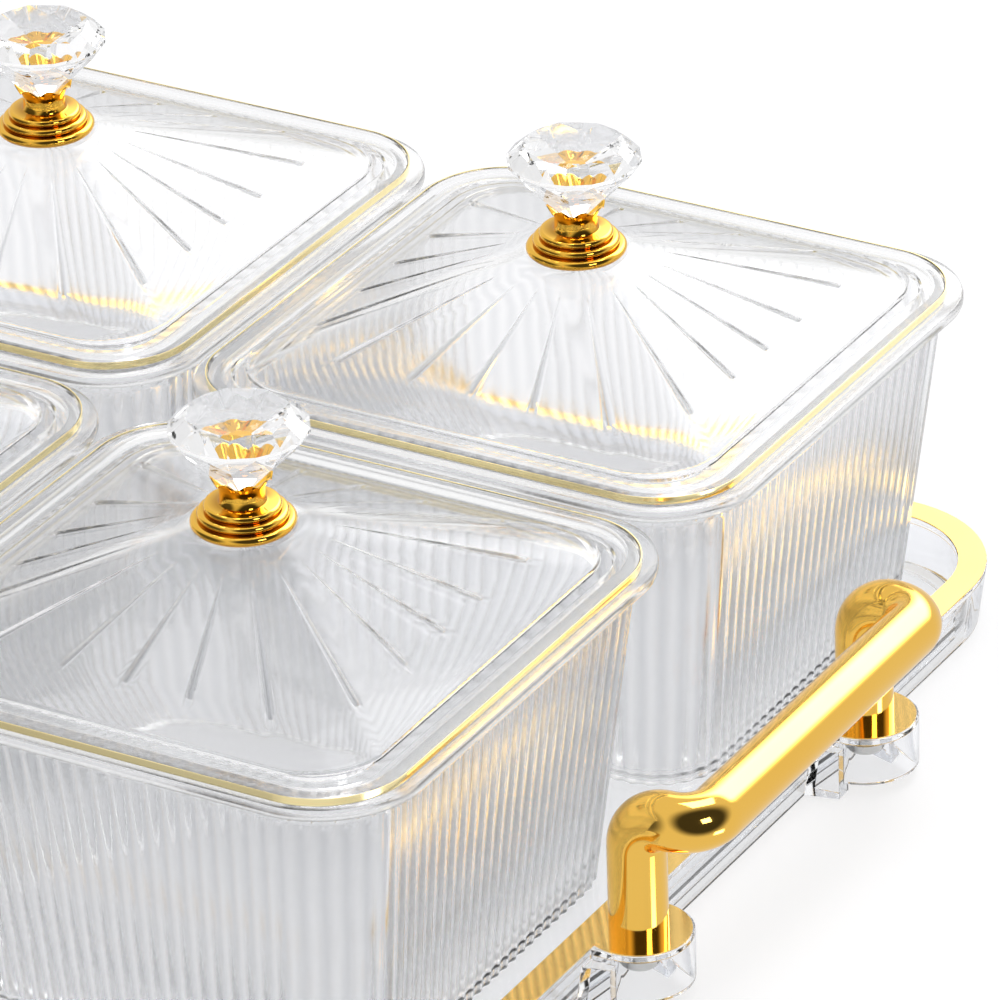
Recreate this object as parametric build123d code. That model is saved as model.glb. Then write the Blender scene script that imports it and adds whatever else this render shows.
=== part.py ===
"""Divided snack tray: a clear square tray that carries four clear boxes with domed lift-off lids.

Millimetres, +Z up. The origin is the tray's centre on the table. X runs across the two handles.
"""
import math
import os

from build123d import *

os.makedirs("parts", exist_ok=True)

# Box, drawn about its own centre with its foot on the tray floor
BOX_HALF = 71.8            # half the outer width of the rolled rim
BOX_HEIGHT = 79.0
BOX_CORNER_R = 24.0
RIM_HEIGHT = 3.2
RIM_OVERHANG = 4.8         # how far the rim stands out from the wall
BOX_TAPER = 8.5            # how far the wall leans in, from the rim to the foot
BOX_WALL = 2.5
BOX_FLOOR = 3.0
FOOT_RING = 4.0            # width of the ring that the box stands on
FOOT_RECESS = 0.8
EDGE = 0.6                 # small rounding on exposed moulded edges
REEDS_PER_SIDE = 22        # upright reeds on each straight stretch of wall
REEDS_PER_CORNER = 6
REED_DEEP = 0.6
REED_TOP_GAP = 3.0         # plain wall between the reeds and the rim
PLAIN_STEP = 0.2           # the plain wall lies this far inside the valleys between reeds

# Where the boxes stand in the tray
GAP_ACROSS = 1.8           # between the rims of neighbours, along X
GAP_ALONG = 3.0            # the same, along Y
BACK_SHIFT = 3.6           # the boxes stand this far towards the back

# Tray
SIDE_MARGIN = 9.0          # tray rim beyond the outer box rims on the handle sides
END_MARGIN = 3.9           # the same on the plain sides, with the boxes centred
TRAY_DRAFT = 2.0           # how far the skirt leans in, from the rim to the table
TRAY_CORNER_R = 32.0
TRAY_HEIGHT = 15.0
TRAY_FLOOR = 3.0
TRAY_SKIN = 2.2
TRAY_RIM = 7.0             # width of the flat rim
FLOOR_LIFT = 1.0           # the floor's underside stands this far off the table
BAND_THICK = 0.3
BAND_INSET = 0.2           # bare rim on each side of the gold band

# Handles and the ears that carry them
EAR_REACH = 5.0            # post centre beyond the tray rim
EAR_R = 12.4
EAR_LIFT = 3.0             # ear's lower edge off the table
PAD_INSET = 0.6            # bare edge round the gold pad on each ear
SHOULDER_HALF = 17.0       # half width of the flare where the ear leaves the wall
SHOULDER_OUT = 6.0         # flare beyond the tray rim
SHOULDER_DROP = 2.5        # top of the flare below the rim
POST_HALF = 53.0           # half the distance between the posts
TUBE_R = 6.65
TUBE_BORE_R = 5.3
BAR_OUT = 15.5             # bar beyond the posts
BAR_HEIGHT = 43.9          # bar centre line above the table
INSERT_LONG = 12.0
SCREW_BOSS = 3.0           # screw boss below the roof of the ear

# Lid
LID_INSET = 3.5            # flange edge inside the box rim edge
FLANGE_THICK = 2.0
LINE_THICK = 0.25
LINE_HEIGHT = 1.7
LID_SKIN = 2.2
SKIRT_GAP = 2.5            # play between the locating skirt and the box wall
SKIRT_THICK = 1.5
SKIRT_DEPTH = 3.0
DOME_MARGIN = 7.8          # flat flange round the dome
DOME_STEP = 1.0
DOME_RISE = 19.5           # from the flange top to the flat boss under the knob
BOSS_HALF = 12.5
CREASES = 20               # radial creases moulded in the dome
CREASE_FROM = 19.0         # where a crease starts and ends, as half the side of a square on the dome
CREASE_TO = 49.0
CREASE_WIDE = 1.6          # width and depth at the outer end
CREASE_DEEP = 0.6
CREASE_TAPER = 0.2         # share of the width and depth left at the inner end
CREASE_CLEAR = 0.4         # how far the cutter stands above the dome

# Knob
KNOB_STEPS = ((11.7, 2.1), (10.1, 1.8), (8.6, 1.7))   # radius and height of each turned step
STEP_EDGE = 0.4
NECK_R = 5.1
NECK_LONG = 3.8
CUP_R = 6.9
CUP_DEEP = 3.0
CUP_PLAY = 0.1
CRYSTAL_R = 15.6
CRYSTAL_TABLE_R = 11.8
CRYSTAL_CROWN = 3.4
CRYSTAL_GIRDLE = 0.8
CRYSTAL_RISE = 10.5        # girdle above the rim of the cup
CRYSTAL_NECK_R = 5.7       # stone's inscribed radius at the rim of the cup
STAR_SLOPE = 24.0
CROWN_GIRDLE_SLOPE = 41.0
PAVILION_GIRDLE_STEEPER = 7.0

# Screws
SCREW_R = 2.0
SCREW_HOLE_R = 2.3
THREAD_PLAY = 0.03
SCREW_HEAD_R = 4.5
SCREW_HEAD_THICK = 2.4
SCREW_REACH = 7.0
SLOT_WIDE = 1.0
SLOT_DEEP = 1.2

# Lids set down a little off centre, as they lie in the photo
LID_SHIFT = {"right_back": (0.0, -0.7), "right_front": (1.1, -2.1),
             "left_back": (0.0, 0.0), "left_front": (0.0, 0.0)}

# Derived levels and sizes
BOX_TOP = TRAY_FLOOR + BOX_HEIGHT
WALL_TOP_HALF = BOX_HALF - RIM_OVERHANG
WALL_FOOT_HALF = WALL_TOP_HALF - BOX_TAPER
WALL_TOP_R = BOX_CORNER_R - RIM_OVERHANG
WALL_FOOT_R = WALL_TOP_R * WALL_FOOT_HALF / WALL_TOP_HALF
TRAY_HALF = (2 * BOX_HALF + GAP_ACROSS / 2 + SIDE_MARGIN, 2 * BOX_HALF + GAP_ALONG / 2 + END_MARGIN)
RIM_TOP = TRAY_HEIGHT - BAND_THICK
POST_X = TRAY_HALF[0] + EAR_REACH
POST_FOOT = TRAY_HEIGHT
SCREW_SEAT = RIM_TOP - TRAY_SKIN - SCREW_BOSS
FLANGE_HALF = BOX_HALF - LID_INSET
FLANGE_R = BOX_CORNER_R - LID_INSET
FLANGE_TOP = BOX_TOP + FLANGE_THICK
DOME_HALF = FLANGE_HALF - DOME_MARGIN
DOME_R = FLANGE_R - DOME_MARGIN / 2
BOSS_TOP = FLANGE_TOP + DOME_RISE
BOSS_UNDER = BOSS_TOP - LID_SKIN
NECK_FOOT = BOSS_TOP + sum(high for _, high in KNOB_STEPS)
CUP_FLOOR = NECK_FOOT + NECK_LONG
CUP_TOP = CUP_FLOOR + CUP_DEEP
CENTRES = {
    "right_back": (BOX_HALF + GAP_ACROSS / 2, BACK_SHIFT + BOX_HALF + GAP_ALONG / 2),
    "right_front": (BOX_HALF + GAP_ACROSS / 2, BACK_SHIFT - BOX_HALF - GAP_ALONG / 2),
    "left_back": (-BOX_HALF - GAP_ACROSS / 2, BACK_SHIFT + BOX_HALF + GAP_ALONG / 2),
    "left_front": (-BOX_HALF - GAP_ACROSS / 2, BACK_SHIFT - BOX_HALF - GAP_ALONG / 2),
}
POSTS = {"right_back": (1, 1), "right_front": (1, -1), "left_back": (-1, 1), "left_front": (-1, -1)}


def inset(half, amount):
    """Half sizes along X and Y, each made smaller by an amount."""
    across, along = half if isinstance(half, tuple) else (half, half)
    return across - amount, along - amount


def rounded(half, radius, z):
    """An outline with round corners, lying at height z. One half size makes it square."""
    across, along = inset(half, 0)
    return Pos(0, 0, z) * RectangleRounded(2 * across, 2 * along, min(radius, min(across, along) - 0.05))


def slab(half, radius, low, high):
    """A block with round corners."""
    return extrude(rounded(half, radius, low), high - low)


def tapered(low_half, low_r, low, high_half, high_r, high):
    """A block with round corners that widens or narrows with height."""
    return loft([rounded(low_half, low_r, low), rounded(high_half, high_r, high)], ruled=True)


def post(radius, low, high, x=0.0, y=0.0):
    """An upright cylinder between two heights."""
    return Pos(x, y, low) * Cylinder(radius, high - low, align=(Align.CENTER, Align.CENTER, Align.MIN))


def turned(points):
    """A solid turned about Z from a profile of radius and height points."""
    profile = make_face(Plane.XZ * Polyline(*points, close=True))
    return revolve(profile, Axis.Z)


def edges_at(shape, height):
    """All edges that lie flat at one height."""
    return [e for e in shape.edges() if abs(e.bounding_box().min.Z - height) < 1e-4
            and abs(e.bounding_box().max.Z - height) < 1e-4]


def skirt_inside():
    """The space inside the tray's outer skirt, up to the rim top."""
    skin, radius = TRAY_SKIN, TRAY_CORNER_R
    return tapered(inset(TRAY_HALF, TRAY_DRAFT + skin), radius - TRAY_DRAFT - skin, 0,
                   inset(TRAY_HALF, skin), radius - skin, RIM_TOP)


def tray_shell():
    """The dish with its hollow rim: an outer skirt, a flat rim, an inner wall and a raised floor."""
    radius, skin = TRAY_CORNER_R, TRAY_SKIN
    dish_in = TRAY_DRAFT + TRAY_RIM - skin / 2
    shell = tapered(inset(TRAY_HALF, TRAY_DRAFT), radius - TRAY_DRAFT, 0, TRAY_HALF, radius, RIM_TOP)
    shell -= tapered(inset(TRAY_HALF, dish_in), radius - dish_in, TRAY_FLOOR,
                     inset(TRAY_HALF, TRAY_RIM), radius - TRAY_RIM, RIM_TOP)
    wall = skin * 0.7
    groove = skirt_inside() - slab(TRAY_HALF, radius, RIM_TOP - skin, RIM_TOP)
    groove -= tapered(inset(TRAY_HALF, dish_in - wall), radius - dish_in + wall, 0,
                      inset(TRAY_HALF, TRAY_RIM - wall), radius - TRAY_RIM + wall, RIM_TOP)
    shell -= groove
    return shell - slab(inset(TRAY_HALF, dish_in + skin), radius - dish_in - skin, 0, FLOOR_LIFT)


def ear_outline(shrink):
    """Plan of one ear on the +X side, about the post centre."""
    reach = EAR_REACH + TRAY_DRAFT + TRAY_SKIN
    stem = Pos(-reach / 2, 0) * Rectangle(reach, 2 * (EAR_R - shrink))
    return Circle(EAR_R - shrink) + stem


def ear():
    """One clear ear with its flared shoulder, hollow from below, about the post centre."""
    wall = EAR_REACH + TRAY_DRAFT + TRAY_SKIN
    out = SHOULDER_OUT - EAR_REACH
    nose = (SHOULDER_HALF + EAR_R) / 2
    flare = make_face(Polyline((-wall, -SHOULDER_HALF), (out, -nose), (out, nose),
                               (-wall, SHOULDER_HALF), close=True))
    solid = extrude(Pos(0, 0, EAR_LIFT) * ear_outline(0), RIM_TOP - EAR_LIFT)
    solid += extrude(flare, RIM_TOP - SHOULDER_DROP)
    solid -= extrude(ear_outline(TRAY_SKIN), RIM_TOP - TRAY_SKIN)
    solid += post(SCREW_HEAD_R + 1, SCREW_SEAT, RIM_TOP)
    return solid - post(SCREW_HOLE_R, 0, TRAY_HEIGHT)


def tray():
    """The moulded tray with four ears."""
    body, inside, one = tray_shell(), skirt_inside(), ear()
    for side, end in POSTS.values():
        turned_ear = Rot(0, 0, 0 if side > 0 else 180) * one
        body += Pos(side * POST_X, end * POST_HALF, 0) * turned_ear - inside
    return body


def tray_band():
    """The thin gold band on the flat rim, with a round pad on each ear."""
    radius, pad_r = TRAY_CORNER_R, EAR_R - PAD_INSET
    band = slab(inset(TRAY_HALF, BAND_INSET), radius - BAND_INSET, RIM_TOP, TRAY_HEIGHT)
    for side, end in POSTS.values():
        band += post(pad_r, RIM_TOP, TRAY_HEIGHT, side * POST_X, end * POST_HALF)
        band -= post(SCREW_HOLE_R, RIM_TOP, TRAY_HEIGHT, side * POST_X, end * POST_HALF)
    inner = TRAY_RIM - BAND_INSET
    return band - slab(inset(TRAY_HALF, inner), radius - inner, RIM_TOP, TRAY_HEIGHT)


def handle_path():
    """Centre line of one handle: up a post, out, along the bar, back in and down."""
    r = BAR_OUT / 2
    k = r * (1 - math.sqrt(0.5))
    h = BAR_HEIGHT
    up = [(0, -POST_HALF, POST_FOOT), (0, -POST_HALF, h - r)]
    first = [(k, -POST_HALF, h - k), (r, -POST_HALF, h)]
    second = [(2 * r - k, -POST_HALF + k, h), (2 * r, -POST_HALF + r, h)]
    inward, down, far_post = [[(x, -y, z) for x, y, z in leg] for leg in (second, first, up)]
    parts = [Line(*up), ThreePointArc(up[1], *first), ThreePointArc(first[1], *second)]
    parts += [Line(second[1], inward[1]), ThreePointArc(inward[1], inward[0], down[1])]
    parts += [ThreePointArc(down[1], down[0], far_post[1]), Line(far_post[1], far_post[0])]
    return Wire([edge for part in parts for edge in part.edges()])


def handle():
    """One bent tube that stands on two ears, about the middle of its feet."""
    path = handle_path()
    start = Plane(origin=(0, -POST_HALF, POST_FOOT), z_dir=(0, 0, 1))
    return sweep(start * Circle(TUBE_R), path=path) - sweep(start * Circle(TUBE_BORE_R), path=path)


def handle_insert():
    """The threaded plug pressed into a post's foot, about its own axis."""
    plug = post(TUBE_BORE_R, POST_FOOT, POST_FOOT + INSERT_LONG)
    return plug - post(SCREW_R + THREAD_PLAY, POST_FOOT - 1, POST_FOOT + INSERT_LONG + 1)


def screw(seat, reach):
    """A slotted pan-head screw that points up, with its head's top face at the seat."""
    low = seat - SCREW_HEAD_THICK
    body = turned([(0, low), (SCREW_HEAD_R - EDGE, low), (SCREW_HEAD_R, low + EDGE), (SCREW_HEAD_R, seat),
                   (SCREW_R, seat), (SCREW_R, seat + reach - SCREW_R), (SCREW_R / 2, seat + reach),
                   (0, seat + reach)])
    slot = Pos(0, 0, low) * Box(2 * SCREW_HEAD_R + 1, SLOT_WIDE, 2 * SLOT_DEEP)
    return body - slot


def wall_point(half, radius, quarter, share, on_corner, sunk):
    """Point of a rounded square, a share of the way along a corner or side, sunk below the outline."""
    core = half - radius
    if on_corner:
        angle = math.radians(90 * share)
        x, y = core + (radius - sunk) * math.cos(angle), core + (radius - sunk) * math.sin(angle)
    else:
        x, y = core * (1 - 2 * share), half - sunk
    for _ in range(quarter):
        x, y = -y, x
    return x, y


def reeded(half, radius, z):
    """A wall outline at height z that bulges in one reed between each pair of valleys."""
    valleys, crests = [], []
    for quarter in range(4):
        for count, on_corner in ((REEDS_PER_CORNER, True), (REEDS_PER_SIDE, False)):
            for index in range(count):
                valleys.append(wall_point(half, radius, quarter, index / count, on_corner, REED_DEEP))
                crests.append(wall_point(half, radius, quarter, (index + 0.5) / count, on_corner, 0))
    reeds = [ThreePointArc(*arc) for arc in zip(valleys, crests, valleys[1:] + valleys[:1])]
    return Pos(0, 0, z) * make_face(Wire(reeds))


def box_walls(rim_low):
    """The solid block of a box below its rim: reeded, with a plain band under the rim."""
    reed_top = rim_low - REED_TOP_GAP
    lean = BOX_TAPER * REED_TOP_GAP / (rim_low - TRAY_FLOOR)
    high_half, high_r = WALL_TOP_HALF - lean, WALL_TOP_R - lean
    walls = loft([reeded(WALL_FOOT_HALF, WALL_FOOT_R, TRAY_FLOOR), reeded(high_half, high_r, reed_top)],
                 ruled=True)
    plain = REED_DEEP + PLAIN_STEP
    return walls + tapered(high_half - plain, high_r - plain, reed_top,
                           WALL_TOP_HALF - plain, WALL_TOP_R - plain, rim_low)


def box():
    """One tapered, reeded box with a rolled rim and a foot ring, about its own centre."""
    rim_low = BOX_TOP - RIM_HEIGHT
    body = box_walls(rim_low)
    rim = slab(BOX_HALF, BOX_CORNER_R, rim_low, BOX_TOP)
    rim = chamfer(edges_at(rim, BOX_TOP) + edges_at(rim, rim_low), EDGE)
    body += rim
    lean = BOX_TAPER / (BOX_HEIGHT - RIM_HEIGHT) * BOX_FLOOR
    floor_half, floor_r = WALL_FOOT_HALF + lean - BOX_WALL, WALL_FOOT_R - BOX_WALL / 2
    mouth_half, mouth_r = WALL_TOP_HALF - BOX_WALL, WALL_TOP_R - BOX_WALL
    body -= tapered(floor_half, floor_r, TRAY_FLOOR + BOX_FLOOR, mouth_half, mouth_r, rim_low)
    body -= slab(mouth_half, mouth_r, rim_low, BOX_TOP)
    recess_half, recess_r = WALL_FOOT_HALF - FOOT_RING, WALL_FOOT_R - FOOT_RING
    return body - slab(recess_half, recess_r, TRAY_FLOOR, TRAY_FLOOR + FOOT_RECESS)


def crease_end(azimuth, half, share):
    """Triangle across a crease where it meets a square of this half size on the dome."""
    a = math.radians(azimuth)
    out = half / max(abs(math.cos(a)), abs(math.sin(a)))
    fall = (BOSS_TOP - FLANGE_TOP - DOME_STEP) / (DOME_HALF - EDGE - BOSS_HALF)
    level = BOSS_TOP - fall * (half - BOSS_HALF)
    deep, wide = CREASE_DEEP * share, CREASE_WIDE * share / 2
    flare = wide * (deep + CREASE_CLEAR) / deep
    across = Plane(origin=(out * math.cos(a), out * math.sin(a), level),
                   x_dir=(-math.sin(a), math.cos(a), 0), z_dir=(math.cos(a), math.sin(a), 0))
    return across * make_face(Polyline((0, -deep), (flare, CREASE_CLEAR), (-flare, CREASE_CLEAR), close=True))


def creases():
    """Cutters for the radial creases of the dome, which widen away from the knob."""
    turns = [360 / CREASES * index for index in range(CREASES)]
    return [loft([crease_end(a, CREASE_FROM, CREASE_TAPER), crease_end(a, CREASE_TO, 1)], ruled=True)
            for a in turns]


def lid():
    """One lid: flange, low step, creased four-sided dome and locating skirt, about its own centre."""
    skin = LID_SKIN
    step_top = FLANGE_TOP + DOME_STEP
    body = slab(FLANGE_HALF - LINE_THICK, FLANGE_R - LINE_THICK, BOX_TOP, FLANGE_TOP)
    body += slab(DOME_HALF, DOME_R, FLANGE_TOP, step_top)
    body += tapered(DOME_HALF - EDGE, DOME_R - EDGE, step_top, BOSS_HALF, BOSS_HALF, BOSS_TOP)
    body -= creases()
    skirt_half = WALL_TOP_HALF - BOX_WALL - SKIRT_GAP
    skirt_r = WALL_TOP_R - BOX_WALL - SKIRT_GAP
    body += slab(skirt_half, skirt_r, BOX_TOP - SKIRT_DEPTH, BOX_TOP)
    hollow_half = min(skirt_half - SKIRT_THICK, DOME_HALF - skin)
    hollow_r = skirt_r - SKIRT_THICK
    spring = step_top - skin + (DOME_HALF - hollow_half) * DOME_RISE / (DOME_HALF - BOSS_HALF) / 2
    body -= slab(hollow_half, hollow_r, BOX_TOP - SKIRT_DEPTH, spring)
    body -= tapered(hollow_half, hollow_r, spring, BOSS_HALF - skin, BOSS_HALF - skin, BOSS_UNDER)
    return body - post(SCREW_HOLE_R, BOSS_UNDER - 1, BOSS_TOP + 1)


def lid_line():
    """The thin gold line round the flange edge."""
    low = FLANGE_TOP - LINE_HEIGHT
    ring = slab(FLANGE_HALF, FLANGE_R, low, FLANGE_TOP)
    return ring - slab(FLANGE_HALF - LINE_THICK, FLANGE_R - LINE_THICK, low, FLANGE_TOP)


def knob_base():
    """The turned knob base: three steps, a neck and the cup that holds the stone."""
    points, level = [(0, BOSS_TOP)], BOSS_TOP
    for radius, high in KNOB_STEPS:
        points += [(radius, level), (radius, level + high - STEP_EDGE), (radius - STEP_EDGE, level + high)]
        level += high
    cup_in = CRYSTAL_NECK_R / math.cos(math.pi / 8) + CUP_PLAY
    cup_in_low = cup_in - CUP_DEEP * pavilion_lean()
    points += [(NECK_R, NECK_FOOT), (NECK_R, CUP_FLOOR - EDGE), (CUP_R, CUP_TOP), (cup_in, CUP_TOP),
               (cup_in_low, CUP_FLOOR), (0, CUP_FLOOR)]
    return turned(points) - post(SCREW_R + THREAD_PLAY, BOSS_TOP - 1, BOSS_TOP + SCREW_REACH - LID_SKIN + 1)


def pavilion_lean():
    """How much the stone's lower half widens for each millimetre of height."""
    return (CRYSTAL_R - CRYSTAL_NECK_R) / CRYSTAL_RISE


def facet(solid, azimuth, slope, out, level, up):
    """Cut one facet that passes a point at this azimuth, distance and level, with this slope in degrees."""
    a, s = math.radians(azimuth), math.radians(slope)
    lift = math.cos(s) if up else -math.cos(s)
    normal = (math.sin(s) * math.cos(a), math.sin(s) * math.sin(a), lift)
    cut = Plane(origin=(out * math.cos(a), out * math.sin(a), level), z_dir=normal)
    return split(solid, bisect_by=cut, keep=Keep.BOTTOM)


def crystal():
    """The faceted stone: an eight-sided table, stars, mains and girdle facets above and below."""
    low_girdle = CUP_TOP + CRYSTAL_RISE
    high_girdle = low_girdle + CRYSTAL_GIRDLE
    top = high_girdle + CRYSTAL_CROWN
    girdle_flat = CRYSTAL_R * math.cos(math.pi / 16)
    table_flat = CRYSTAL_TABLE_R * math.cos(math.pi / 8)
    main_slope = math.degrees(math.atan2(CRYSTAL_CROWN, CRYSTAL_R - CRYSTAL_TABLE_R))
    low_slope = math.degrees(math.atan2(1, pavilion_lean()))
    stone = extrude(Pos(0, 0, CUP_FLOOR) * RegularPolygon(CRYSTAL_R, 16), top - CUP_FLOOR)
    for index in range(16):
        azimuth = 22.5 * index
        between = azimuth + 11.25
        stone = facet(stone, between, CROWN_GIRDLE_SLOPE, girdle_flat, high_girdle, True)
        stone = facet(stone, between, low_slope + PAVILION_GIRDLE_STEEPER, girdle_flat, low_girdle, False)
        if index % 2:
            stone = facet(stone, azimuth, STAR_SLOPE, table_flat, top, True)
        else:
            stone = facet(stone, azimuth, main_slope, CRYSTAL_R, high_girdle, True)
            stone = facet(stone, azimuth, low_slope, CRYSTAL_R, low_girdle, False)
    return stone


def write(name, shape, x=0.0, y=0.0):
    """Place one piece and write it to its own file."""
    export_step(Pos(x, y, 0) * shape, f"parts/{name}.step")


def main():
    write("tray", tray())
    write("tray_band", tray_band())
    one_handle = handle()
    write("handle_right", one_handle, POST_X)
    write("handle_left", Rot(0, 0, 180) * one_handle, -POST_X)
    insert, handle_screw = handle_insert(), screw(SCREW_SEAT, POST_FOOT - SCREW_SEAT + SCREW_REACH)
    for corner, (side, end) in POSTS.items():
        write(f"handle_insert_{corner}", insert, side * POST_X, end * POST_HALF)
        write(f"handle_screw_{corner}", handle_screw, side * POST_X, end * POST_HALF)
    one_box = box()
    lid_set = {"lid": lid(), "lid_line": lid_line(), "knob_base": knob_base(), "knob_crystal": crystal(),
               "knob_screw": screw(BOSS_UNDER, SCREW_REACH)}
    for corner, (x, y) in CENTRES.items():
        write(f"box_{corner}", one_box, x, y)
        shift_x, shift_y = LID_SHIFT[corner]
        for name, piece in lid_set.items():
            write(f"{name}_{corner}", piece, x + shift_x, y + shift_y)


main()
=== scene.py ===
"""Looks of the divided snack tray: clear reeded boxes, creased domed lids, gilt handles and knobs.

The script works in metres. Sizes are written in millimetres and turned into metres by mm().
A profile is a row of pairs: how far a ring lies inside an outline, and how far above a level,
both in millimetres.
"""

import math

import bmesh
import bpy
from mathutils import Matrix, Vector


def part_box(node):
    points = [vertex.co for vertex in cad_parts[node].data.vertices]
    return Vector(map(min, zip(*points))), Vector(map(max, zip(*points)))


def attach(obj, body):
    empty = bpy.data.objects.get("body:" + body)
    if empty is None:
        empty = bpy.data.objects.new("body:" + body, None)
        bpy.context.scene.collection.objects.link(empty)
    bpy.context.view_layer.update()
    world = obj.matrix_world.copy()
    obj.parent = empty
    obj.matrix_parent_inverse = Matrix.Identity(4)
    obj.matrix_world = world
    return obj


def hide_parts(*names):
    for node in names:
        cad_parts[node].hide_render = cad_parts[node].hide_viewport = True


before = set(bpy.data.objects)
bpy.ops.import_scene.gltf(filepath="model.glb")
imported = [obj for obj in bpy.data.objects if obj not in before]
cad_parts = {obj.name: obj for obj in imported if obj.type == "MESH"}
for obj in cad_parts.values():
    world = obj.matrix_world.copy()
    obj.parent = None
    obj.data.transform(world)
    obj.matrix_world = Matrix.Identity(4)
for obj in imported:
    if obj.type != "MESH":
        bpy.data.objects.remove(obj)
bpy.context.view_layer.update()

CORNERS = ("right_back", "right_front", "left_back", "left_front")
SHARP_ANGLE = math.radians(32)      # edges sharper than this stay sharp


def mm(value):
    """Millimetres as metres."""
    return value * 0.001


# Box
RIM_HEIGHT = mm(3.2)
RIM_OVERHANG = mm(4.8)
BOX_TAPER = mm(8.5)
BOX_WALL = mm(2.5)
BOX_FLOOR = mm(1.4)             # thin, as a thick clear floor would show as a dark line
BOX_CORNER_R = mm(24.0)
FOOT_PROFILE = ((4.0, 0.8), (4.0, 0.15), (3.8, 0.0), (1.0, 0.0))
FOOT_LIP = mm(0.1)              # bevel where the reeds meet the foot
REEDS_PER_SIDE = 22
REEDS_PER_CORNER = 6
REED_DEEP = mm(0.6)
REED_STEPS = 8                  # points across one reed
REED_LEVELS = (0.2, 0.45, 0.7)  # rings on the reeds, as shares of their height
REED_TOP_GAP = mm(3.0)          # plain wall between the reed tops and the rim
REED_TOP_LEVELS = (-3.2, -2.4, -2.0, -1.6, -1.2, -0.8, -0.4, 0.0, 0.5)     # mm from their tops
REED_ARCH = mm(2.2)             # how far a reed's rounded top falls towards its edges
REED_RUNOUT = mm(0.5)           # height over which a reed runs out into the plain wall
PLAIN_INSET = REED_DEEP + mm(0.2)   # plain wall, just behind the reeds' valleys
PLAIN_HOLLOW = mm(0.5)          # bevel where the plain wall meets the rim
RIM_UNDERSIDE = ((0.9, 0.0), (0.25, 0.3), (0.0, 0.9))
RIM_TOP = ((0.0, -0.9), (0.25, -0.25), (0.9, 0.0))
MOUTH_PROFILE = ((-0.5, 0.0), (0.0, -0.5))
FLOOR_PROFILE = ((-0.3, 2.0), (0.5, 0.8), (1.4, 0.15), (2.4, 0.0))

# Lid
FLANGE_THICK = mm(2.0)
FLANGE_TOP = ((0.5, 0.0), (0.1, -0.1), (0.0, -0.5))
FLANGE_UNDERSIDE = ((0.0, 0.5), (0.5, 0.0))
SKIRT_THICK = mm(1.5)
SKIRT_DEPTH = mm(3.0)
SKIRT_HALF = mm(62.0)
SKIRT_CORNER_INSET = mm(2.5)    # how much smaller its corner radius is than the box mouth's
SKIRT_ROOT = ((-0.4, 0.0), (0.0, -0.4))
SKIRT_EDGE = ((0.0, 0.5), (0.5, 0.0))
SKIRT_INNER_EDGE = mm(0.3), mm(0.4)     # width and height of its inner bevel
DOME_MARGIN = mm(7.8)
DOME_STEP = mm(1.0)
DOME_SHORT = mm(0.6)            # how far inside its outline the slope meets its foot
DOME_EDGE = ((0.8, 0.12), (0.2, -0.2), (0.0, -0.5))
DOME_ROOT = ((0.0, 0.2), (-0.2, 0.0))
BOSS_HALF = mm(12.5)
BOSS_EDGE = mm(0.8)
CAP_HALF = mm(2.0)              # innermost ring, over and under
ABOVE_CREASES = (0.0, 2.0, 4.5)     # rings from the boss to the creases, in mm from the boss
BELOW_CREASES = (0.5, 3.0, 6.5)     # rings from the creases out, in mm from the creases
CREASE_LEAD = mm(0.2)           # last ring before the creases
DOME_LAST = mm(2.2)             # last ring of the slope, inside the dome's outline
LID_SKIN = mm(2.2)
LID_CORNER_R = mm(20.5)
SPRING_DROP = mm(0.6)           # hollow where the skirt turns into the dome's underside
UNDER_LEVELS = (0.03, 0.25, 0.5, 0.75, 1.0)     # rings under the dome, as shares of its slope
CREASES = 20
CREASE_FROM = mm(19.0)
CREASE_TO = mm(49.0)
CREASE_RINGS = 14
CREASE_WIDE = mm(2.6)
CREASE_DEEP = mm(0.6)
CREASE_TAPER = 0.2              # share of the width and depth at the inner end
CREASE_SPREAD = math.radians(1.6)
CREASE_STEPS = 6                # points from a crease's middle to its edge
CREASE_BETWEEN = (0.16, 0.24, 0.32, 0.4, 0.5, -0.16, -0.24, -0.32, -0.4)    # shares of the pitch

# Handle
TUBE_R = mm(6.65)
TUBE_BORE_R = mm(5.3)
TUBE_SIDES = 64
TUBE_FOOT = mm(1.0)             # straight ring just above the foot
BEND_STEPS = 14

# Knob. Radii, heights and the rows of its tables are in millimetres.
KNOB_SIDES = 128
KNOB_STEPS = ((11.7, 2.1), (10.1, 1.8), (8.6, 1.7))     # radius and height of each step
KNOB_FOOT_R = 2.0
BEAD_STEPS = 8
BEAD_SHARE = 0.5                # bead radius, as a share of its step's height
BEAD_TUCK = 0.6                 # how far the groove under it cuts in, in bead radii
BEAD_FROM, BEAD_SWEEP = -50, 140    # where a step's bead starts and how far it turns, in degrees
BEAD_SHADE, BEAD_SHADE_FALL = 0.5, 1.6  # painted shade at a bead's middle, and how fast it falls upwards
NECK_R = 5.1
NECK_LONG = 3.8
# Radius beyond NECK_R, height above the steps, and painted shade
NECK_ROWS = ((0.7, 0.02, 1), (0.25, 0.15, 1), (0.0, 0.55, 0.6), (-0.1, 1.9, 0), (0.0, 3.6, 0.5))
CUP_R = 6.9
CUP_DEEP = 3.0
CUP_SWELL = 0.05
CUP_LEVELS = (0.6, 1.2, 1.8)    # above the neck
# painted shade on the cup's flaring side above the neck
CUP_SHADE = 0.4
# Radius beyond CUP_R, height above the cup's rim, petal and drop
CUP_LIP = ((-0.2, -0.5, 1, 0.7), (0.0, -0.15, 1, 1), (-0.12, 0.0, 1, 1), (-0.4, -0.05, 0.7, 1))
CUP_FLOOR = ((3.4, 0.04), (0.5, 0.04))  # radius, and height above the neck
PETALS = 8
PETAL_DEPTH = mm(0.35)
PETAL_DROP = mm(1.5)            # how far the rim sinks between two petals

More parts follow.
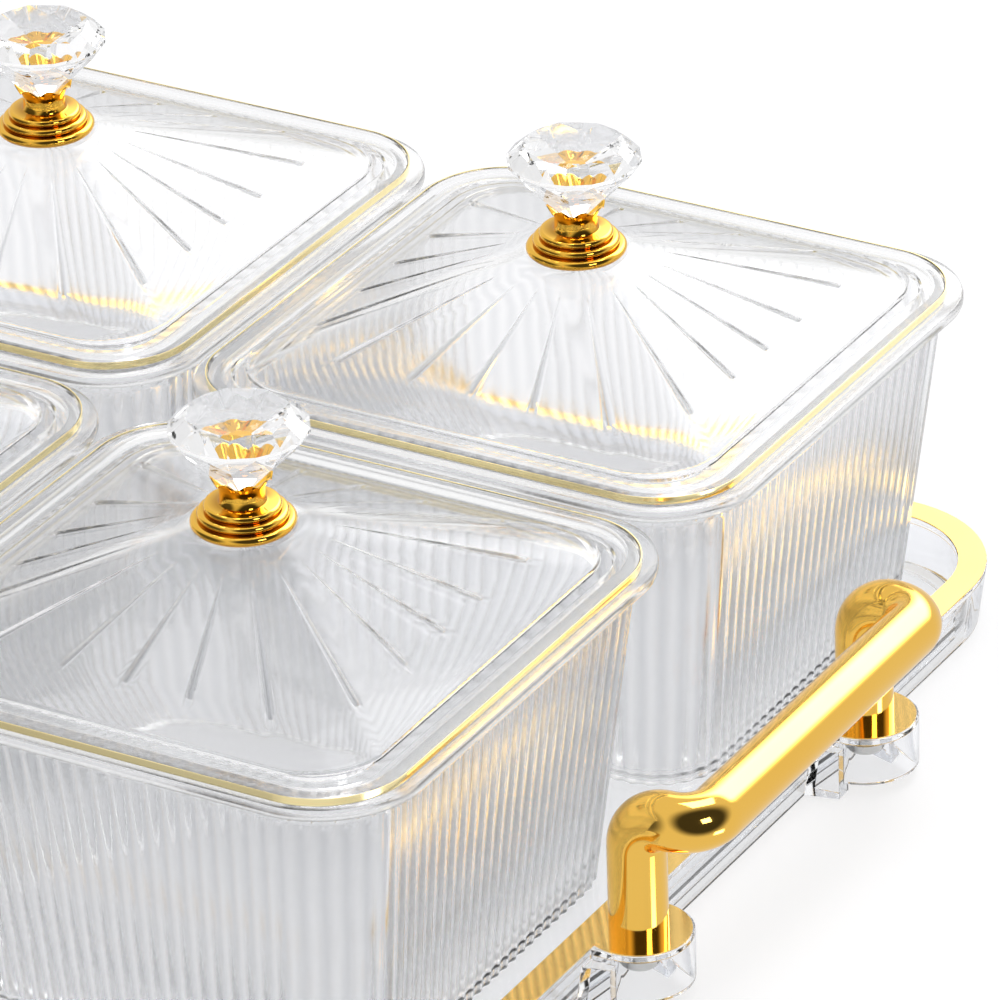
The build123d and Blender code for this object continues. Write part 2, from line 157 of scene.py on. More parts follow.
# Fit and edges
SEAT_GAP = mm(0.06)             # air between clear pieces that stand on each other
EDGE_ROUND = mm(0.5)            # rounding of the tray's edges
EDGE_SEGMENTS = 2
EDGE_ANGLE = math.radians(50)   # only edges sharper than this are rounded
WELD_REACH = mm(0.001)

# Colours. A surface wanders between the two colours of its pair.
BOX_COLOURS = (0.977, 0.978, 0.982, 1), (0.988, 0.989, 0.992, 1)
REED_PAINTED_SHADE = (0.74, 0.75, 0.77, 1)       # painted shade in the reeds' valleys
LID_COLOURS = (0.983, 0.984, 0.987, 1), (0.992, 0.993, 0.995, 1)
LID_EDGE_SHADE = (0.68, 0.69, 0.72, 1)
# painted shade in the lid's creases
CREASE_PAINTED_SHADE = (0.46, 0.47, 0.49, 1)
TRAY_COLOURS = (0.94, 0.947, 0.962, 1), (0.955, 0.96, 0.972, 1)
TRAY_EDGE_SHADE = (0.62, 0.64, 0.69, 1)
CLEAR_SHINE = (0.2, 0.2, 0.21, 1)       # tint of what acrylic mirrors
CRYSTAL_COLOURS = (0.98, 0.98, 0.985, 1), (1.0, 1.0, 1.0, 1)
CRYSTAL_EDGE_SHADE = (0.5, 0.51, 0.54, 1)
PLATE_COLOURS = (1.0, 0.58, 0.10, 1), (1.0, 0.62, 0.13, 1)
KNOB_COLOURS = (1.0, 0.54, 0.06, 1), (1.0, 0.60, 0.09, 1)
KNOB_PAINTED_SHADE = (0.62, 0.31, 0.03, 1)      # painted shade in the grooves between the knob's steps
FOIL_COLOURS = (1.0, 0.63, 0.17, 1), (1.0, 0.69, 0.23, 1)
LINE_COLOURS = (1.0, 0.83, 0.42, 1), (1.0, 0.88, 0.50, 1)
STEEL_COLOURS = (0.55, 0.55, 0.54, 1), (0.68, 0.68, 0.66, 1)
FLOOR_COLOUR = (0.30, 0.30, 0.31, 1)
WHITE = (1, 1, 1, 1)
ACRYLIC_IOR = 1.47
CRYSTAL_IOR = 1.56
OUTLINE_FACING = 0.62, 0.92     # where the painted edge shade starts and is full, 1 being edge on

# Roughness of each surface, and the scales of the noise in its colour and roughness
BOX_HAZE, LID_HAZE, TRAY_HAZE = (0.11, 0.15), (0.05, 0.09), (0.02, 0.05)
PLATE_ROUGH, KNOB_ROUGH, FOIL_ROUGH = (0.06, 0.10), (0.04, 0.08), (0.08, 0.13)
LINE_ROUGH, STEEL_ROUGH, FLOOR_ROUGH = (0.12, 0.2), (0.22, 0.38), 0.9
ACRYLIC_SCALES, GOLD_SCALES, STEEL_SCALES = (40, 25), (30, 60), (200, 150)
CRYSTAL_SCALE = 60
NOISE_DETAIL = 2.0

# Studio. A lobe is a direction, two angles from it in degrees, and the level at its middle.
FLOOR_HALF = 4.0
FLOOR_DROP = mm(0.2)
FLOOR_GLOW = 0.74               # share of the floor's white that doesn't depend on the light
PLAIN_LEVEL = 0.7               # what lights dull surfaces
GLOSS_LEVEL = 0.80              # what metal sees round it
METAL_DARK = (0.82, -0.46, 0.47), 36, 60, 0.05      # the dark in front of metal
METAL_SIDE = (-0.74, -0.67, 0.10), 20, 48, 0.12     # the dark on its left
CLEAR_VIEWER = (0.45, -0.76, 0.47), 20, 70, 0.80    # the camera side, dark in clear pieces
SOFT_BOX = 6.0                  # added by the broad lamp behind the object
SOFT_BOX_EDGES = (("X", -0.54, -0.10), ("X", 0.64, 0.40), ("Y", 0.58, 0.70), ("Z", 0.20, 0.52))
STRIP_LAMP = 5.6                # added by the narrow lamp on the right, mirrored in the table
STRIP_EDGES = (("aside", 0.17, 0.11), ("X", 0.55, 0.7), ("Z", -0.56, -0.50), ("Z", -0.34, -0.42))
LAMPS = (("over", (0.3, 0.5, 1.7), 0.8, 10),        # name, place, size and watts
         ("right_front", (1.70, -0.64, 0.87), 0.5, 5))
LAMP_TARGET = (0, 0, 0.04)      # in metres, as the lamps' places are

# Camera, fitted to the photograph's edges
FOCAL_PX, WIDTH_PX = 8000.0, 999.0
SENSOR_WIDTH = 36.0
CLIP_RANGE = 0.05, 20.0
CAMERA_PLACE = (0.90096, -1.34896, 0.91573)
CAMERA_FORWARD = (-0.45272, 0.75800, -0.46957)
CAMERA_UP = (-0.21094, 0.42064, 0.88238)

# Light paths
CLEAR_BOUNCES = 32
GLOSSY_BOUNCES = 16


def piece(name, verts, faces, smooth=True, tones=None):
    """A new mesh object at the origin of the row frame, with an optional amount of painted shade
    for each point.
    """
    mesh = bpy.data.meshes.new(name)
    mesh.from_pydata([tuple(v) for v in verts], [], faces)
    mesh.validate()
    if tones:
        mesh.attributes.new("tone", "FLOAT", "POINT").data.foreach_set("value", tones)
    obj = bpy.data.objects.new(name, mesh)
    bpy.context.collection.objects.link(obj)
    work = bmesh.new()
    work.from_mesh(mesh)
    bmesh.ops.recalc_face_normals(work, faces=work.faces)
    work.to_mesh(mesh)
    work.free()
    if smooth:
        mesh.polygons.foreach_set("use_smooth", [True] * len(mesh.polygons))
        mesh.set_sharp_from_angle(angle=SHARP_ANGLE)
    return obj


def stitched(rings, closed_profile=False, capped=True):
    """Faces between rings of equal length, with caps or a last strip back to the first ring."""
    count = len(rings[0])
    verts = [v for ring in rings for v in ring]
    pairs = list(zip(range(len(rings) - 1), range(1, len(rings))))
    if closed_profile:
        pairs.append((len(rings) - 1, 0))
    faces = []
    for a, b in pairs:
        for i in range(count):
            j = (i + 1) % count
            faces.append((a * count + i, a * count + j, b * count + j, b * count + i))
    if capped:
        faces.append(tuple(range(count)))
        faces.append(tuple((len(rings) - 1) * count + i for i in range(count)))
    return verts, faces


def reach(half, radius, angle):
    """Point of a rounded square's outline in the direction of an angle from its centre."""
    ux, uy = math.cos(angle), math.sin(angle)
    ax, ay = abs(ux), abs(uy)
    flat = half / max(ax, ay)
    core = half - radius
    if flat * ax > core and flat * ay > core:
        along = (ax + ay) * core
        flat = along + math.sqrt(max(0.0, along * along - 2 * core * core + radius * radius))
    return flat * ux, flat * uy


def reed_stations():
    """Places round a box wall: which stretch, how far along it, and where across its reed."""
    stations = []
    phases = [step / REED_STEPS - 0.5 for step in range(REED_STEPS)]
    for quarter in range(4):
        for count, kind in ((REEDS_PER_CORNER, "corner"), (REEDS_PER_SIDE, "side")):
            for index in range(count):
                for phase in phases:
                    stations.append((quarter, kind, (index + phase + 0.5) / count, phase))
    return stations


STATIONS = reed_stations()


def station_point(station, half, radius):
    """Point and outward direction of a station on a rounded square."""
    quarter, kind, t, _ = station
    core = half - radius
    if kind == "corner":
        a = math.pi / 2 * t
        out = Vector((math.cos(a), math.sin(a)))
        base = Vector((core, core)) + out * radius
    else:
        out = Vector((0.0, 1.0))
        base = Vector((core - 2 * core * t, half))
    spin = Matrix.Rotation(quarter * math.pi / 2, 2)
    return spin @ base, spin @ out


def box_ring(half, radius, z, reeds=0.0, top=None):
    """A ring of the box wall and the painted shade at each point, 1 in the valleys of the reeds."""
    ring, tones = [], []
    for station in STATIONS:
        base, out = station_point(station, half, radius)
        phase = station[3]
        tone = reeds * math.sin(math.pi * phase) ** 2
        sunk = REED_DEEP * tone
        if top is not None:
            arch = REED_ARCH * (1 - math.sqrt(max(0.0, 1 - (2 * phase) ** 2)))
            over = min(1.0, max(0.0, (z - top + arch) / REED_RUNOUT))
            sunk += (PLAIN_INSET - sunk) * over
            tone *= 1 - over
        ring.append(Vector((base.x - out.x * sunk, base.y - out.y * sunk, z)))
        tones.append(tone)
    return ring, tones


def box_mesh():
    """One box about its own centre, from the middle of its underside round to its floor."""
    low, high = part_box("box_right_back")
    foot_z, rim_z = low.z + SEAT_GAP, high.z
    half = (high.x - low.x) / 2
    rim_low = rim_z - RIM_HEIGHT
    top_half, top_r = half - RIM_OVERHANG, BOX_CORNER_R - RIM_OVERHANG
    foot_half = top_half - BOX_TAPER
    foot_r = top_r * foot_half / top_half

    def wall(z):
        t = (z - foot_z) / (rim_low - foot_z)
        return foot_half + (top_half - foot_half) * t, foot_r + (top_r - foot_r) * t

    def profile(width, corner, level, rows):
        return [box_ring(width - mm(inset), corner - mm(inset), level + mm(rise))
                for inset, rise in rows]

    rings = profile(foot_half, foot_r, foot_z, FOOT_PROFILE)
    rings += [box_ring(foot_half - FOOT_LIP, foot_r - FOOT_LIP, foot_z, 1.0),
              box_ring(*wall(foot_z + FOOT_LIP), foot_z + FOOT_LIP, 1.0)]
    reed_top = rim_low - REED_TOP_GAP
    levels = [foot_z + (reed_top - foot_z) * share for share in REED_LEVELS]
    levels += [reed_top + mm(rise) for rise in REED_TOP_LEVELS]
    rings += [box_ring(*wall(z), z, 1.0, reed_top) for z in levels]
    for inset, z in ((PLAIN_INSET, rim_low - PLAIN_HOLLOW), (PLAIN_INSET - PLAIN_HOLLOW, rim_low)):
        rings.append(box_ring(top_half - inset, top_r - inset, z))
    rings += profile(half, BOX_CORNER_R, rim_low, RIM_UNDERSIDE)
    rings += profile(half, BOX_CORNER_R, rim_z, RIM_TOP)
    mouth, mouth_r = top_half - BOX_WALL, top_r - BOX_WALL
    rings += profile(mouth, mouth_r, rim_z, MOUTH_PROFILE)
    rings.append(box_ring(mouth, mouth_r, rim_low))
    floor_z = foot_z + BOX_FLOOR
    floor_half, floor_r = wall(floor_z)[0] - BOX_WALL, foot_r - BOX_WALL / 2
    rings += profile(floor_half, floor_r, floor_z, FLOOR_PROFILE)
    tones = [tone for _, row in rings for tone in row]
    return *stitched([ring for ring, _ in rings]), tones


def moved(verts, x, y):
    """The same points, shifted sideways."""
    return [Vector((v[0] + x, v[1] + y, v[2])) for v in verts]


def centre_of(node):
    """Middle of a CAD node in plan."""
    low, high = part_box(node)
    return (low.x + high.x) / 2, (low.y + high.y) / 2


def crease_angles():
    """Directions round a lid, close together at each crease and wider between."""
    pitch = 2 * math.pi / CREASES
    offsets = [CREASE_SPREAD * step / CREASE_STEPS
               for step in range(-CREASE_STEPS, CREASE_STEPS + 1)]
    offsets += [pitch * share for share in CREASE_BETWEEN]
    return sorted((k * pitch + offset) % (2 * math.pi)
                  for k in range(CREASES) for offset in offsets)


def crease_at(half, angle, radius):
    """How deep a crease is at a place on the dome, as a share of its full depth."""
    if not CREASE_FROM <= half <= CREASE_TO:
        return 0.0
    pitch = 2 * math.pi / CREASES
    aside = radius * abs((angle + pitch / 2) % pitch - pitch / 2)
    along = (half - CREASE_FROM) / (CREASE_TO - CREASE_FROM)
    share = CREASE_TAPER + (1 - CREASE_TAPER) * along
    return share * max(0.0, 1 - (aside / (CREASE_WIDE / 2 * share)) ** 2) ** 2


def lid_mesh():
    """One lid about its own centre, from its boss over the dome to the underside."""
    low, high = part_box("lid_right_back")
    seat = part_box("box_right_back")[1].z + SEAT_GAP
    flange_half = (high.x - low.x) / 2 - SEAT_GAP
    flange_top = seat + FLANGE_THICK - SEAT_GAP
    dome_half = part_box("lid_line_right_back")[1].x - centre_of("lid_right_back")[0] - DOME_MARGIN
    dome_r = LID_CORNER_R - DOME_MARGIN / 2
    dome_foot = flange_top + DOME_STEP
    boss_top = high.z
    slope = (boss_top - dome_foot) / (dome_half - DOME_SHORT - BOSS_HALF)
    angles = crease_angles()
    tones = []

    def ring(half, radius, z, cut=False):
        pts = []
        for a in angles:
            x, y = reach(half, min(radius, half), a)
            share = crease_at(half, a, math.hypot(x, y)) if cut else 0.0
            # the crease's depth share is also how much painted shade the point gets
            tones.append(share)
            pts.append(Vector((x, y, z - CREASE_DEEP * share)))
        return pts

    def profile(half, radius, level, rows):
        return [ring(half - mm(inset), radius - mm(inset), level + mm(rise))
                for inset, rise in rows]

    rings = [ring(CAP_HALF, CAP_HALF, boss_top), ring(BOSS_HALF - BOSS_EDGE, BOSS_HALF, boss_top)]
    halves = [BOSS_HALF + mm(out) for out in ABOVE_CREASES] + [CREASE_FROM - CREASE_LEAD]
    halves += [CREASE_FROM + (CREASE_TO - CREASE_FROM) * step / CREASE_RINGS
               for step in range(CREASE_RINGS + 1)]
    halves += [CREASE_TO + mm(out) for out in BELOW_CREASES] + [dome_half - DOME_LAST]
    for half in halves:
        t = (half - BOSS_HALF) / (dome_half - BOSS_HALF)
        radius = BOSS_HALF + (dome_r - BOSS_HALF) * t
        rings.append(ring(half, radius, boss_top - slope * (half - BOSS_HALF), cut=True))
    rings += profile(dome_half, dome_r, dome_foot, DOME_EDGE)
    rings += profile(dome_half, dome_r, flange_top, DOME_ROOT)
    rings += profile(flange_half, LID_CORNER_R, flange_top, FLANGE_TOP)
    rings += profile(flange_half, LID_CORNER_R, seat, FLANGE_UNDERSIDE)

    skirt_r = BOX_CORNER_R - RIM_OVERHANG - BOX_WALL - SKIRT_CORNER_INSET
    skirt_low = seat - SKIRT_DEPTH
    rings += profile(SKIRT_HALF, skirt_r, seat, SKIRT_ROOT)
    rings += profile(SKIRT_HALF, skirt_r, skirt_low, SKIRT_EDGE)
    hollow = min(SKIRT_HALF - SKIRT_THICK, dome_half - LID_SKIN)
    hollow_r = skirt_r - SKIRT_THICK
    bevel_wide, bevel_high = SKIRT_INNER_EDGE
    spring = dome_foot - LID_SKIN + (dome_half - hollow) * slope / 2
    rings += [ring(hollow + bevel_wide, hollow_r, skirt_low),
              ring(hollow, hollow_r, skirt_low + bevel_high),
              ring(hollow, hollow_r, spring - SPRING_DROP)]
    under, under_half = boss_top - LID_SKIN, BOSS_HALF - LID_SKIN
    for t in UNDER_LEVELS:
        rings.append(ring(hollow + (under_half - hollow) * t,
                          hollow_r + (under_half - hollow_r) * t,
                          spring + (under - spring) * t))
    rings.append(ring(CAP_HALF, CAP_HALF, under))
    return *stitched(rings), tones


def sweep_tube(path, radius, bore):
    """A hollow tube round a path of points, with a flat ring at each end."""
    turns = [2 * math.pi * k / TUBE_SIDES for k in range(TUBE_SIDES)]
    side = Vector((1, 0, 0))
    rings_out, rings_in = [], []
    for i, p in enumerate(path):
        ahead = (path[min(i + 1, len(path) - 1)] - path[max(i - 1, 0)]).normalized()
        side = (side - ahead * side.dot(ahead)).normalized()
        other = ahead.cross(side)
        circle = [math.cos(a) * side + math.sin(a) * other for a in turns]
        rings_out.append([p + c * radius for c in circle])
        rings_in.append([p + c * bore for c in circle])
    return stitched(rings_out + rings_in[::-1], closed_profile=True, capped=False)


def handle_path(node):
    """Centre line of a handle, from one foot to the other."""
    low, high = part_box(node)
    side = 1 if high.x > 0 else -1
    far = (high.x if side > 0 else -low.x) - TUBE_R
    near = (low.x if side > 0 else -high.x) + TUBE_R
    bend = (far - near) / 2
    end_y, top, foot = high.y - TUBE_R, high.z - TUBE_R, low.z
    quarter = [math.pi / 2 * i / BEND_STEPS for i in range(BEND_STEPS + 1)]
    half = [(near, end_y, foot), (near, end_y, foot + TUBE_FOOT)]
    half += [(near + bend * (1 - math.cos(a)), end_y, top - bend * (1 - math.sin(a)))
             for a in quarter]
    half += [(near + bend * (1 + math.sin(a)), end_y - bend * (1 - math.cos(a)), top)
             for a in quarter[1:]]
    back = [(x, -y, z) for x, y, z in half]
    return [Vector((side * x, y, z)) for x, y, z in back + half[::-1]]


def turned(profile):
    """A solid of revolution about Z from radius, height, petal, drop and painted shade rows. A
    row's petals pull the outline in, and its drop sinks it, between one petal and the next."""
    rings = []
    for radius, z, petal, drop, _ in profile:
        ring = []
        for k in range(KNOB_SIDES):
            a = 2 * math.pi * k / KNOB_SIDES
            gap = 1 - abs(math.cos(a * PETALS / 2))
            r = radius - PETAL_DEPTH * petal * gap
            ring.append(Vector((r * math.cos(a), r * math.sin(a), z - PETAL_DROP * drop * gap)))
        rings.append(ring)
    tones = [row[4] for row in profile for _ in range(KNOB_SIDES)]
    return *stitched(rings), tones


def knob_profile():
    """Rows of the turned knob base from its foot up: three beads, a neck and a petalled cup."""
    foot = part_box("knob_base_right_back")[0].z
    rows = [(KNOB_FOOT_R, 0.0, 0, 0, 1)]
    level = 0.0
    for radius, high in KNOB_STEPS:
        bead = high * BEAD_SHARE
        rows.append((radius - bead * BEAD_TUCK, level, 0, 0, 1))
        for step in range(BEAD_STEPS + 1):
            a = math.radians(BEAD_FROM + BEAD_SWEEP * step / BEAD_STEPS)
            shade = min(1.0, max(0.0, BEAD_SHADE - BEAD_SHADE_FALL * math.sin(a)))
            rows.append((radius - bead + bead * math.cos(a),
                         level + high * 0.5 + bead * math.sin(a), 0, 0, shade))
        level += high
    rows += [(NECK_R + out, level + up, 0, 0, shade) for out, up, shade in NECK_ROWS]
    level += NECK_LONG
    top, lean = level + CUP_DEEP, (CUP_R - NECK_R) / CUP_DEEP
    rows += [(NECK_R + lean * up + CUP_SWELL, level + up, up / CUP_DEEP, 0, CUP_SHADE)
             for up in CUP_LEVELS]
    rows += [(CUP_R + out, top + up, petal, drop, 0) for out, up, petal, drop in CUP_LIP]
    rows += [(radius, level + up, 0, 0, 0) for radius, up in CUP_FLOOR]
    return [(mm(r), foot + mm(z), petal, drop, shade) for r, z, petal, drop, shade in rows]


def link(tree, *pairs):
    """Join node sockets in pairs."""
    for source, target in pairs:
        tree.links.new(source, target)


def math_node(tree, operation, first, second=0.0):
    """One sum, product or other simple step, with a number or a socket for each side."""
    node = tree.nodes.new("ShaderNodeMath")
    node.operation = operation
    for socket, value in zip(node.inputs, (first, second)):
        if isinstance(value, (int, float)):
            socket.default_value = value
        else:
            link(tree, (value, socket))
    return node.outputs[0]


def smooth_step(tree, value, start, stop, at_start, at_stop):
    """Goes softly from one level to another as a value goes from start to stop."""
    span = tree.nodes.new("ShaderNodeMapRange")
    span.interpolation_type = "SMOOTHSTEP"
    for name, number in (("From Min", start), ("From Max", stop),
                         ("To Min", at_start), ("To Max", at_stop)):
        span.inputs[name].default_value = number
    link(tree, (value, span.inputs["Value"]))
    return span.outputs["Result"]


def new_material(name):
    """A new Principled material with its node tree and shader."""
    material = bpy.data.materials.new(name)
    material.use_nodes = True
    return material, material.node_tree, material.node_tree.nodes["Principled BSDF"]


def noise_between(tree, target, low, high, scale):
    """Drive one shader input by a soft noise between two colours or two numbers."""
    coords = tree.nodes.new("ShaderNodeTexCoord")
    noise = tree.nodes.new("ShaderNodeTexNoise")
    noise.inputs["Scale"].default_value = scale
    noise.inputs["Detail"].default_value = NOISE_DETAIL
    link(tree, (coords.outputs["Object"], noise.inputs["Vector"]))
    if isinstance(low, tuple):
        mix = tree.nodes.new("ShaderNodeMix")
        mix.data_type = "RGBA"
        mix.inputs["A"].default_value = low
        mix.inputs["B"].default_value = high
        link(tree, (noise.outputs["Fac"], mix.inputs["Factor"]), (mix.outputs["Result"], target))
    else:
        span = tree.nodes.new("ShaderNodeMapRange")
        span.inputs["To Min"].default_value = low
        span.inputs["To Max"].default_value = high
        link(tree, (noise.outputs["Fac"], span.inputs["Value"]), (span.outputs["Result"], target))


def mix_base(tree, factor, colour):
    """Turn a material's colour towards another by a factor."""
    base = tree.nodes["Principled BSDF"].inputs["Base Color"]
    mix = tree.nodes.new("ShaderNodeMix")
    mix.data_type = "RGBA"
    before, after = [socket for socket in mix.inputs if socket.type == "RGBA"]
    result = [socket for socket in mix.outputs if socket.type == "RGBA"][0]
    after.default_value = colour
    link(tree, (factor, mix.inputs["Factor"]), (base.links[0].from_socket, before), (result, base))


def shade_by_tone(tree, colour):
    """Paint shade: turn a material's colour towards a shade colour where the mesh's tone says so.
    """
    tone = tree.nodes.new("ShaderNodeAttribute")
    tone.attribute_name = "tone"
    mix_base(tree, tone.outputs["Fac"], colour)


def paint_edge_shade(tree, colour):
    """Paint shade on a clear piece: turn its colour to grey where its surface turns away from the
    eye.
    """
    facing = tree.nodes.new("ShaderNodeLayerWeight").outputs["Facing"]
    mix_base(tree, smooth_step(tree, facing, *OUTLINE_FACING, 0.0, 1.0), colour)


def acrylic(name, haze, colours, painted_shade_colour=None, outline=None):
    """Clear moulded acrylic, a little cloudy. If asked, it gets painted shade where the mesh's tone
    says so, and a painted grey edge shade where a surface turns away from the eye."""
    material, tree, shader = new_material(name)
    shader.inputs["Transmission Weight"].default_value = 1.0
    shader.inputs["IOR"].default_value = ACRYLIC_IOR
    shader.inputs["Specular Tint"].default_value = CLEAR_SHINE
    noise_between(tree, shader.inputs["Base Color"], *colours, ACRYLIC_SCALES[0])
    noise_between(tree, shader.inputs["Roughness"], *haze, ACRYLIC_SCALES[1])
    if painted_shade_colour:
        shade_by_tone(tree, painted_shade_colour)
    if outline:
        paint_edge_shade(tree, outline)
    return material


def crystal():
    """Clear cut glass."""
    material, tree, shader = new_material("crystal")
    shader.inputs["Transmission Weight"].default_value = 1.0
    shader.inputs["IOR"].default_value = CRYSTAL_IOR
    shader.inputs["Roughness"].default_value = 0.0
    noise_between(tree, shader.inputs["Base Color"], *CRYSTAL_COLOURS, CRYSTAL_SCALE)
    # painted shade where the facets turn edge on to the eye
    paint_edge_shade(tree, CRYSTAL_EDGE_SHADE)
    return material


def metal(name, colours, rough, scales=GOLD_SCALES, painted_shade_colour=None):
    """Bright metal, with painted shade in another colour where the mesh's tone says so."""
    material, tree, shader = new_material(name)
    shader.inputs["Metallic"].default_value = 1.0
    noise_between(tree, shader.inputs["Base Color"], *colours, scales[0])
    noise_between(tree, shader.inputs["Roughness"], *rough, scales[1])
    if painted_shade_colour:
        shade_by_tone(tree, painted_shade_colour)
    return material


def paint(obj, material):
    """Give a piece its material."""
    obj.data.materials.clear()
    obj.data.materials.append(material)


def dress(obj, material, body, replaced):
    """Give a new piece its material, tie it to its body, and hide the node it stands for."""
    paint(obj, material)
    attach(obj, body)
    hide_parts(replaced)


def soften(obj):
    """Round off a CAD piece's edges a little and draw its skin in, clear of what touches it."""
    weld = obj.modifiers.new("weld", "WELD")
    weld.merge_threshold = WELD_REACH
    bevel = obj.modifiers.new("edges", "BEVEL")
    bevel.width = EDGE_ROUND
    bevel.segments = EDGE_SEGMENTS
    bevel.limit_method = "ANGLE"
    bevel.angle_limit = EDGE_ANGLE
    draw_in = obj.modifiers.new("draw_in", "DISPLACE")
    draw_in.direction = "NORMAL"
    draw_in.mid_level = 0.0
    draw_in.strength = -SEAT_GAP / 2


def build_object():
    """All visible pieces and their materials."""
    wall = acrylic("box_acrylic", BOX_HAZE, BOX_COLOURS, REED_PAINTED_SHADE)
    cover = acrylic("lid_acrylic", LID_HAZE, LID_COLOURS, CREASE_PAINTED_SHADE, LID_EDGE_SHADE)
    dish = acrylic("tray_acrylic", TRAY_HAZE, TRAY_COLOURS, outline=TRAY_EDGE_SHADE)
    plate = metal("gold_plate", PLATE_COLOURS, PLATE_ROUGH)
    brass = metal("knob_gold", KNOB_COLOURS, KNOB_ROUGH, painted_shade_colour=KNOB_PAINTED_SHADE)
    foil = metal("gold_foil", FOIL_COLOURS, FOIL_ROUGH)
    cad_looks = {"knob_crystal": crystal(),
                 "lid_line": metal("edge_foil", LINE_COLOURS, LINE_ROUGH)}
    steel = metal("screw_steel", STEEL_COLOURS, STEEL_ROUGH, STEEL_SCALES)
    cad_looks.update((name, steel) for name in ("knob_screw", "handle_insert", "handle_screw"))
    box, lid, knob = box_mesh(), lid_mesh(), turned(knob_profile())
    for corner in CORNERS:
        box_at, lid_at = centre_of(f"box_{corner}"), centre_of(f"lid_{corner}")
        box_body, lid_body = f"box_body_{corner}", f"lid_body_{corner}"
        for name, (verts, faces, tones), at, material, slot, body, replaced in (
                ("fluted_box", box, box_at, wall, "clear_acrylic", box_body, "box"),
                ("fluted_lid", lid, lid_at, cover, "clear_acrylic", lid_body, "lid"),
                ("turned_knob", knob, lid_at, brass, "gold_plate", lid_body, "knob_base")):
            obj = piece(f"{name}_{corner}", moved(verts, *at), faces, tones=tones)
            dress(obj, material, body, f"{replaced}_{corner}")
        for name, material in cad_looks.items():
            paint(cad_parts[f"{name}_{corner}"], material)
    for side in ("right", "left"):
        path = handle_path(f"handle_{side}")
        tube = piece(f"bent_tube_{side}", *sweep_tube(path, TUBE_R, TUBE_BORE_R))
        dress(tube, plate, "tray_body", f"handle_{side}")
    paint(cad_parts["tray"], dish)
    soften(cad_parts["tray"])
    paint(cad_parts["tray_band"], foil)


def ray_mask(tree, *kinds):
    """1 for rays of the named kinds, else 0."""
    path = tree.nodes.new("ShaderNodeLightPath")
    mask = path.outputs[kinds[0]]
    for kind in kinds[1:]:
        mask = math_node(tree, "MAXIMUM", mask, path.outputs[kind])
    return mask


def build_floor():
    """A white floor that still takes the object's soft shadow."""
    size = FLOOR_HALF
    floor = piece("floor", [(-size, -size, 0), (size, -size, 0), (size, size, 0), (-size, size, 0)],
                  [(0, 1, 2, 3)], smooth=False)
    floor.location.z = -FLOOR_DROP
    floor.visible_glossy = False
    material, tree, shader = new_material("floor")
    shader.inputs["Base Color"].default_value = FLOOR_COLOUR
    shader.inputs["Roughness"].default_value = FLOOR_ROUGH
    shader.inputs["Specular IOR Level"].default_value = 0.0
    shader.inputs["Emission Color"].default_value = WHITE
    mask = ray_mask(tree, "Is Camera Ray", "Is Transmission Ray", "Is Glossy Ray")
    glow = math_node(tree, "MULTIPLY", mask, FLOOR_GLOW)
    link(tree, (glow, shader.inputs["Emission Strength"]))
    floor.data.materials.append(material)


def lobe(tree, heading, direction, near, far, inside, outside=1.0):
    """A level that goes from inside to outside between two angles, in degrees, from a direction."""
    aim = tree.nodes.new("ShaderNodeVectorMath")
    aim.operation = "DOT_PRODUCT"
    aim.inputs[1].default_value = Vector(direction).normalized()
    link(tree, (heading, aim.inputs[0]))
    span = math.cos(math.radians(far)), math.cos(math.radians(near))
    return smooth_step(tree, aim.outputs["Value"], *span, outside, inside)


def soft_patch(tree, axes, level, edges):
    """A patch of light with soft edges. Each edge names an axis of the heading and the places on it
    where the light is gone and where it is full."""
    light = level
    for axis, dark, bright in edges:
        rising = dark < bright
        ends = (dark, bright, 0.0, 1.0) if rising else (bright, dark, 1.0, 0.0)
        light = math_node(tree, "MULTIPLY", light, smooth_step(tree, axes[axis], *ends))
    return light


def studio_in_metal(tree, heading):
    """What metal sees: pale walls, a dark round the camera, a dark left side, a soft box behind and
    the mirror image in the table of a strip lamp on the right."""
    parts = tree.nodes.new("ShaderNodeSeparateXYZ")
    link(tree, (heading, parts.inputs[0]))
    axes = {name: parts.outputs[name] for name in ("X", "Y", "Z")}
    axes["aside"] = math_node(tree, "ABSOLUTE", axes["Y"])
    level = math_node(tree, "MULTIPLY", lobe(tree, heading, *METAL_DARK, GLOSS_LEVEL),
                      lobe(tree, heading, *METAL_SIDE))
    for lamp, edges in ((SOFT_BOX, SOFT_BOX_EDGES), (STRIP_LAMP, STRIP_EDGES)):
        level = math_node(tree, "ADD", level, soft_patch(tree, axes, lamp, edges))
    return level


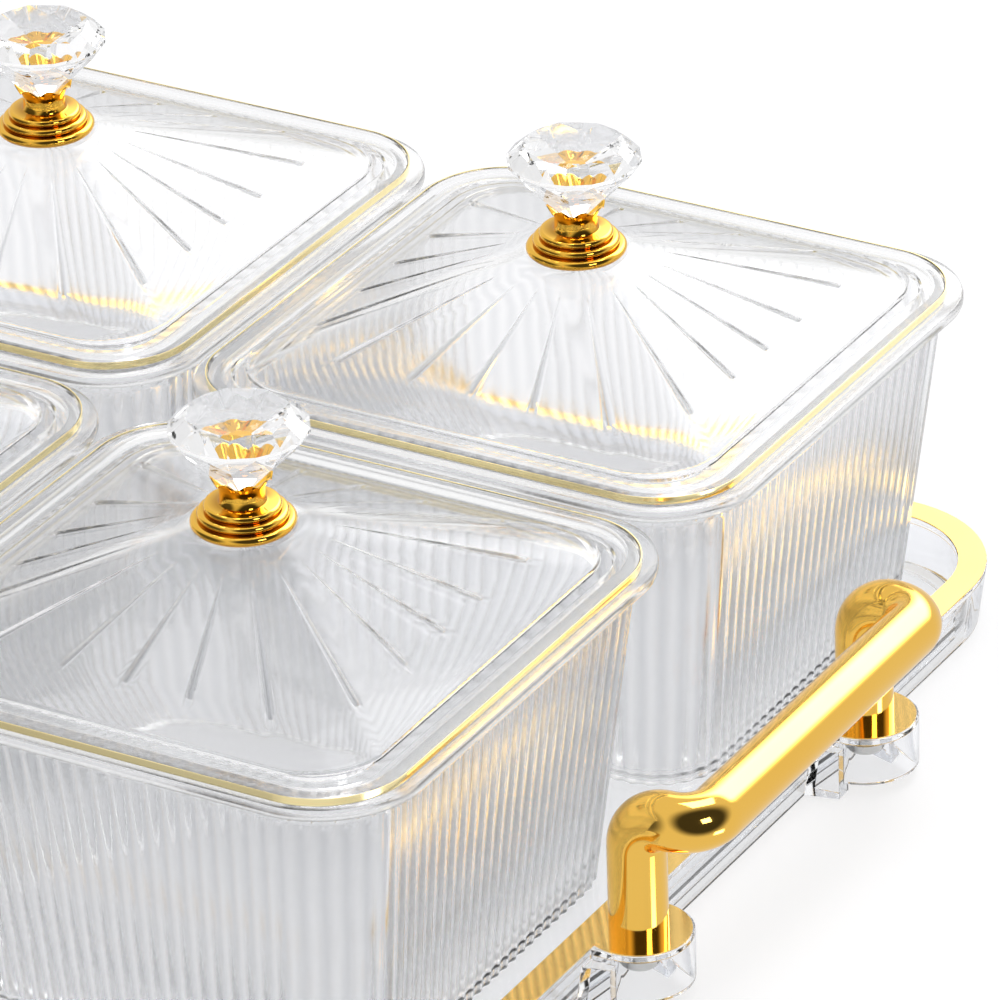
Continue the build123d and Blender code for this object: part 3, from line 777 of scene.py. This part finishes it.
def build_world():
    """A studio that is white behind the object, with other surroundings for metal, for clear pieces
    and for dull surfaces."""
    world = bpy.data.worlds.new("studio")
    bpy.context.scene.world = world
    world.use_nodes = True
    tree = world.node_tree
    back = tree.nodes["Background"]
    back.inputs["Color"].default_value = WHITE
    heading = tree.nodes.new("ShaderNodeTexCoord").outputs["Generated"]
    path = tree.nodes.new("ShaderNodeLightPath")
    level = PLAIN_LEVEL
    for kind, seen in (("Is Glossy Ray", studio_in_metal(tree, heading)),
                       ("Is Transmission Ray", lobe(tree, heading, *CLEAR_VIEWER)),
                       ("Is Camera Ray", 1.0)):
        mix = tree.nodes.new("ShaderNodeMix")
        for socket, value in (("A", level), ("B", seen)):
            if isinstance(value, float):
                mix.inputs[socket].default_value = value
            else:
                link(tree, (value, mix.inputs[socket]))
        link(tree, (path.outputs[kind], mix.inputs["Factor"]))
        level = mix.outputs["Result"]
    link(tree, (level, back.inputs["Strength"]))


def build_lights():
    """A soft box over the object and a small lamp in front on the right."""
    for name, place, size, power in LAMPS:
        data = bpy.data.lights.new(name, "AREA")
        data.shape = "RECTANGLE"
        data.size, data.size_y = size, size
        data.energy = power
        lamp = bpy.data.objects.new(name, data)
        bpy.context.collection.objects.link(lamp)
        lamp.location = place
        lamp.rotation_mode = "QUATERNION"
        lamp.rotation_quaternion = (Vector(LAMP_TARGET) - Vector(place)).to_track_quat("-Z", "Y")


def build_camera():
    """Camera fitted to the photograph's edges."""
    data = bpy.data.cameras.new("camera")
    data.sensor_fit = "HORIZONTAL"
    data.sensor_width = SENSOR_WIDTH
    data.lens = FOCAL_PX / WIDTH_PX * data.sensor_width
    data.clip_start, data.clip_end = CLIP_RANGE
    camera = bpy.data.objects.new("camera", data)
    bpy.context.collection.objects.link(camera)
    camera.location = CAMERA_PLACE
    forward = Vector(CAMERA_FORWARD)
    right = forward.cross(Vector(CAMERA_UP)).normalized()
    up = right.cross(forward).normalized()
    turn = Matrix((right, up, -forward.normalized())).transposed()
    camera.rotation_mode = "QUATERNION"
    camera.rotation_quaternion = turn.to_quaternion()
    bpy.context.scene.camera = camera


build_object()
build_floor()
build_world()
build_lights()
build_camera()
scene = bpy.context.scene
scene.view_settings.view_transform = "Standard"
scene.cycles.max_bounces = CLEAR_BOUNCES
scene.cycles.transmission_bounces = CLEAR_BOUNCES
scene.cycles.glossy_bounces = GLOSSY_BOUNCES
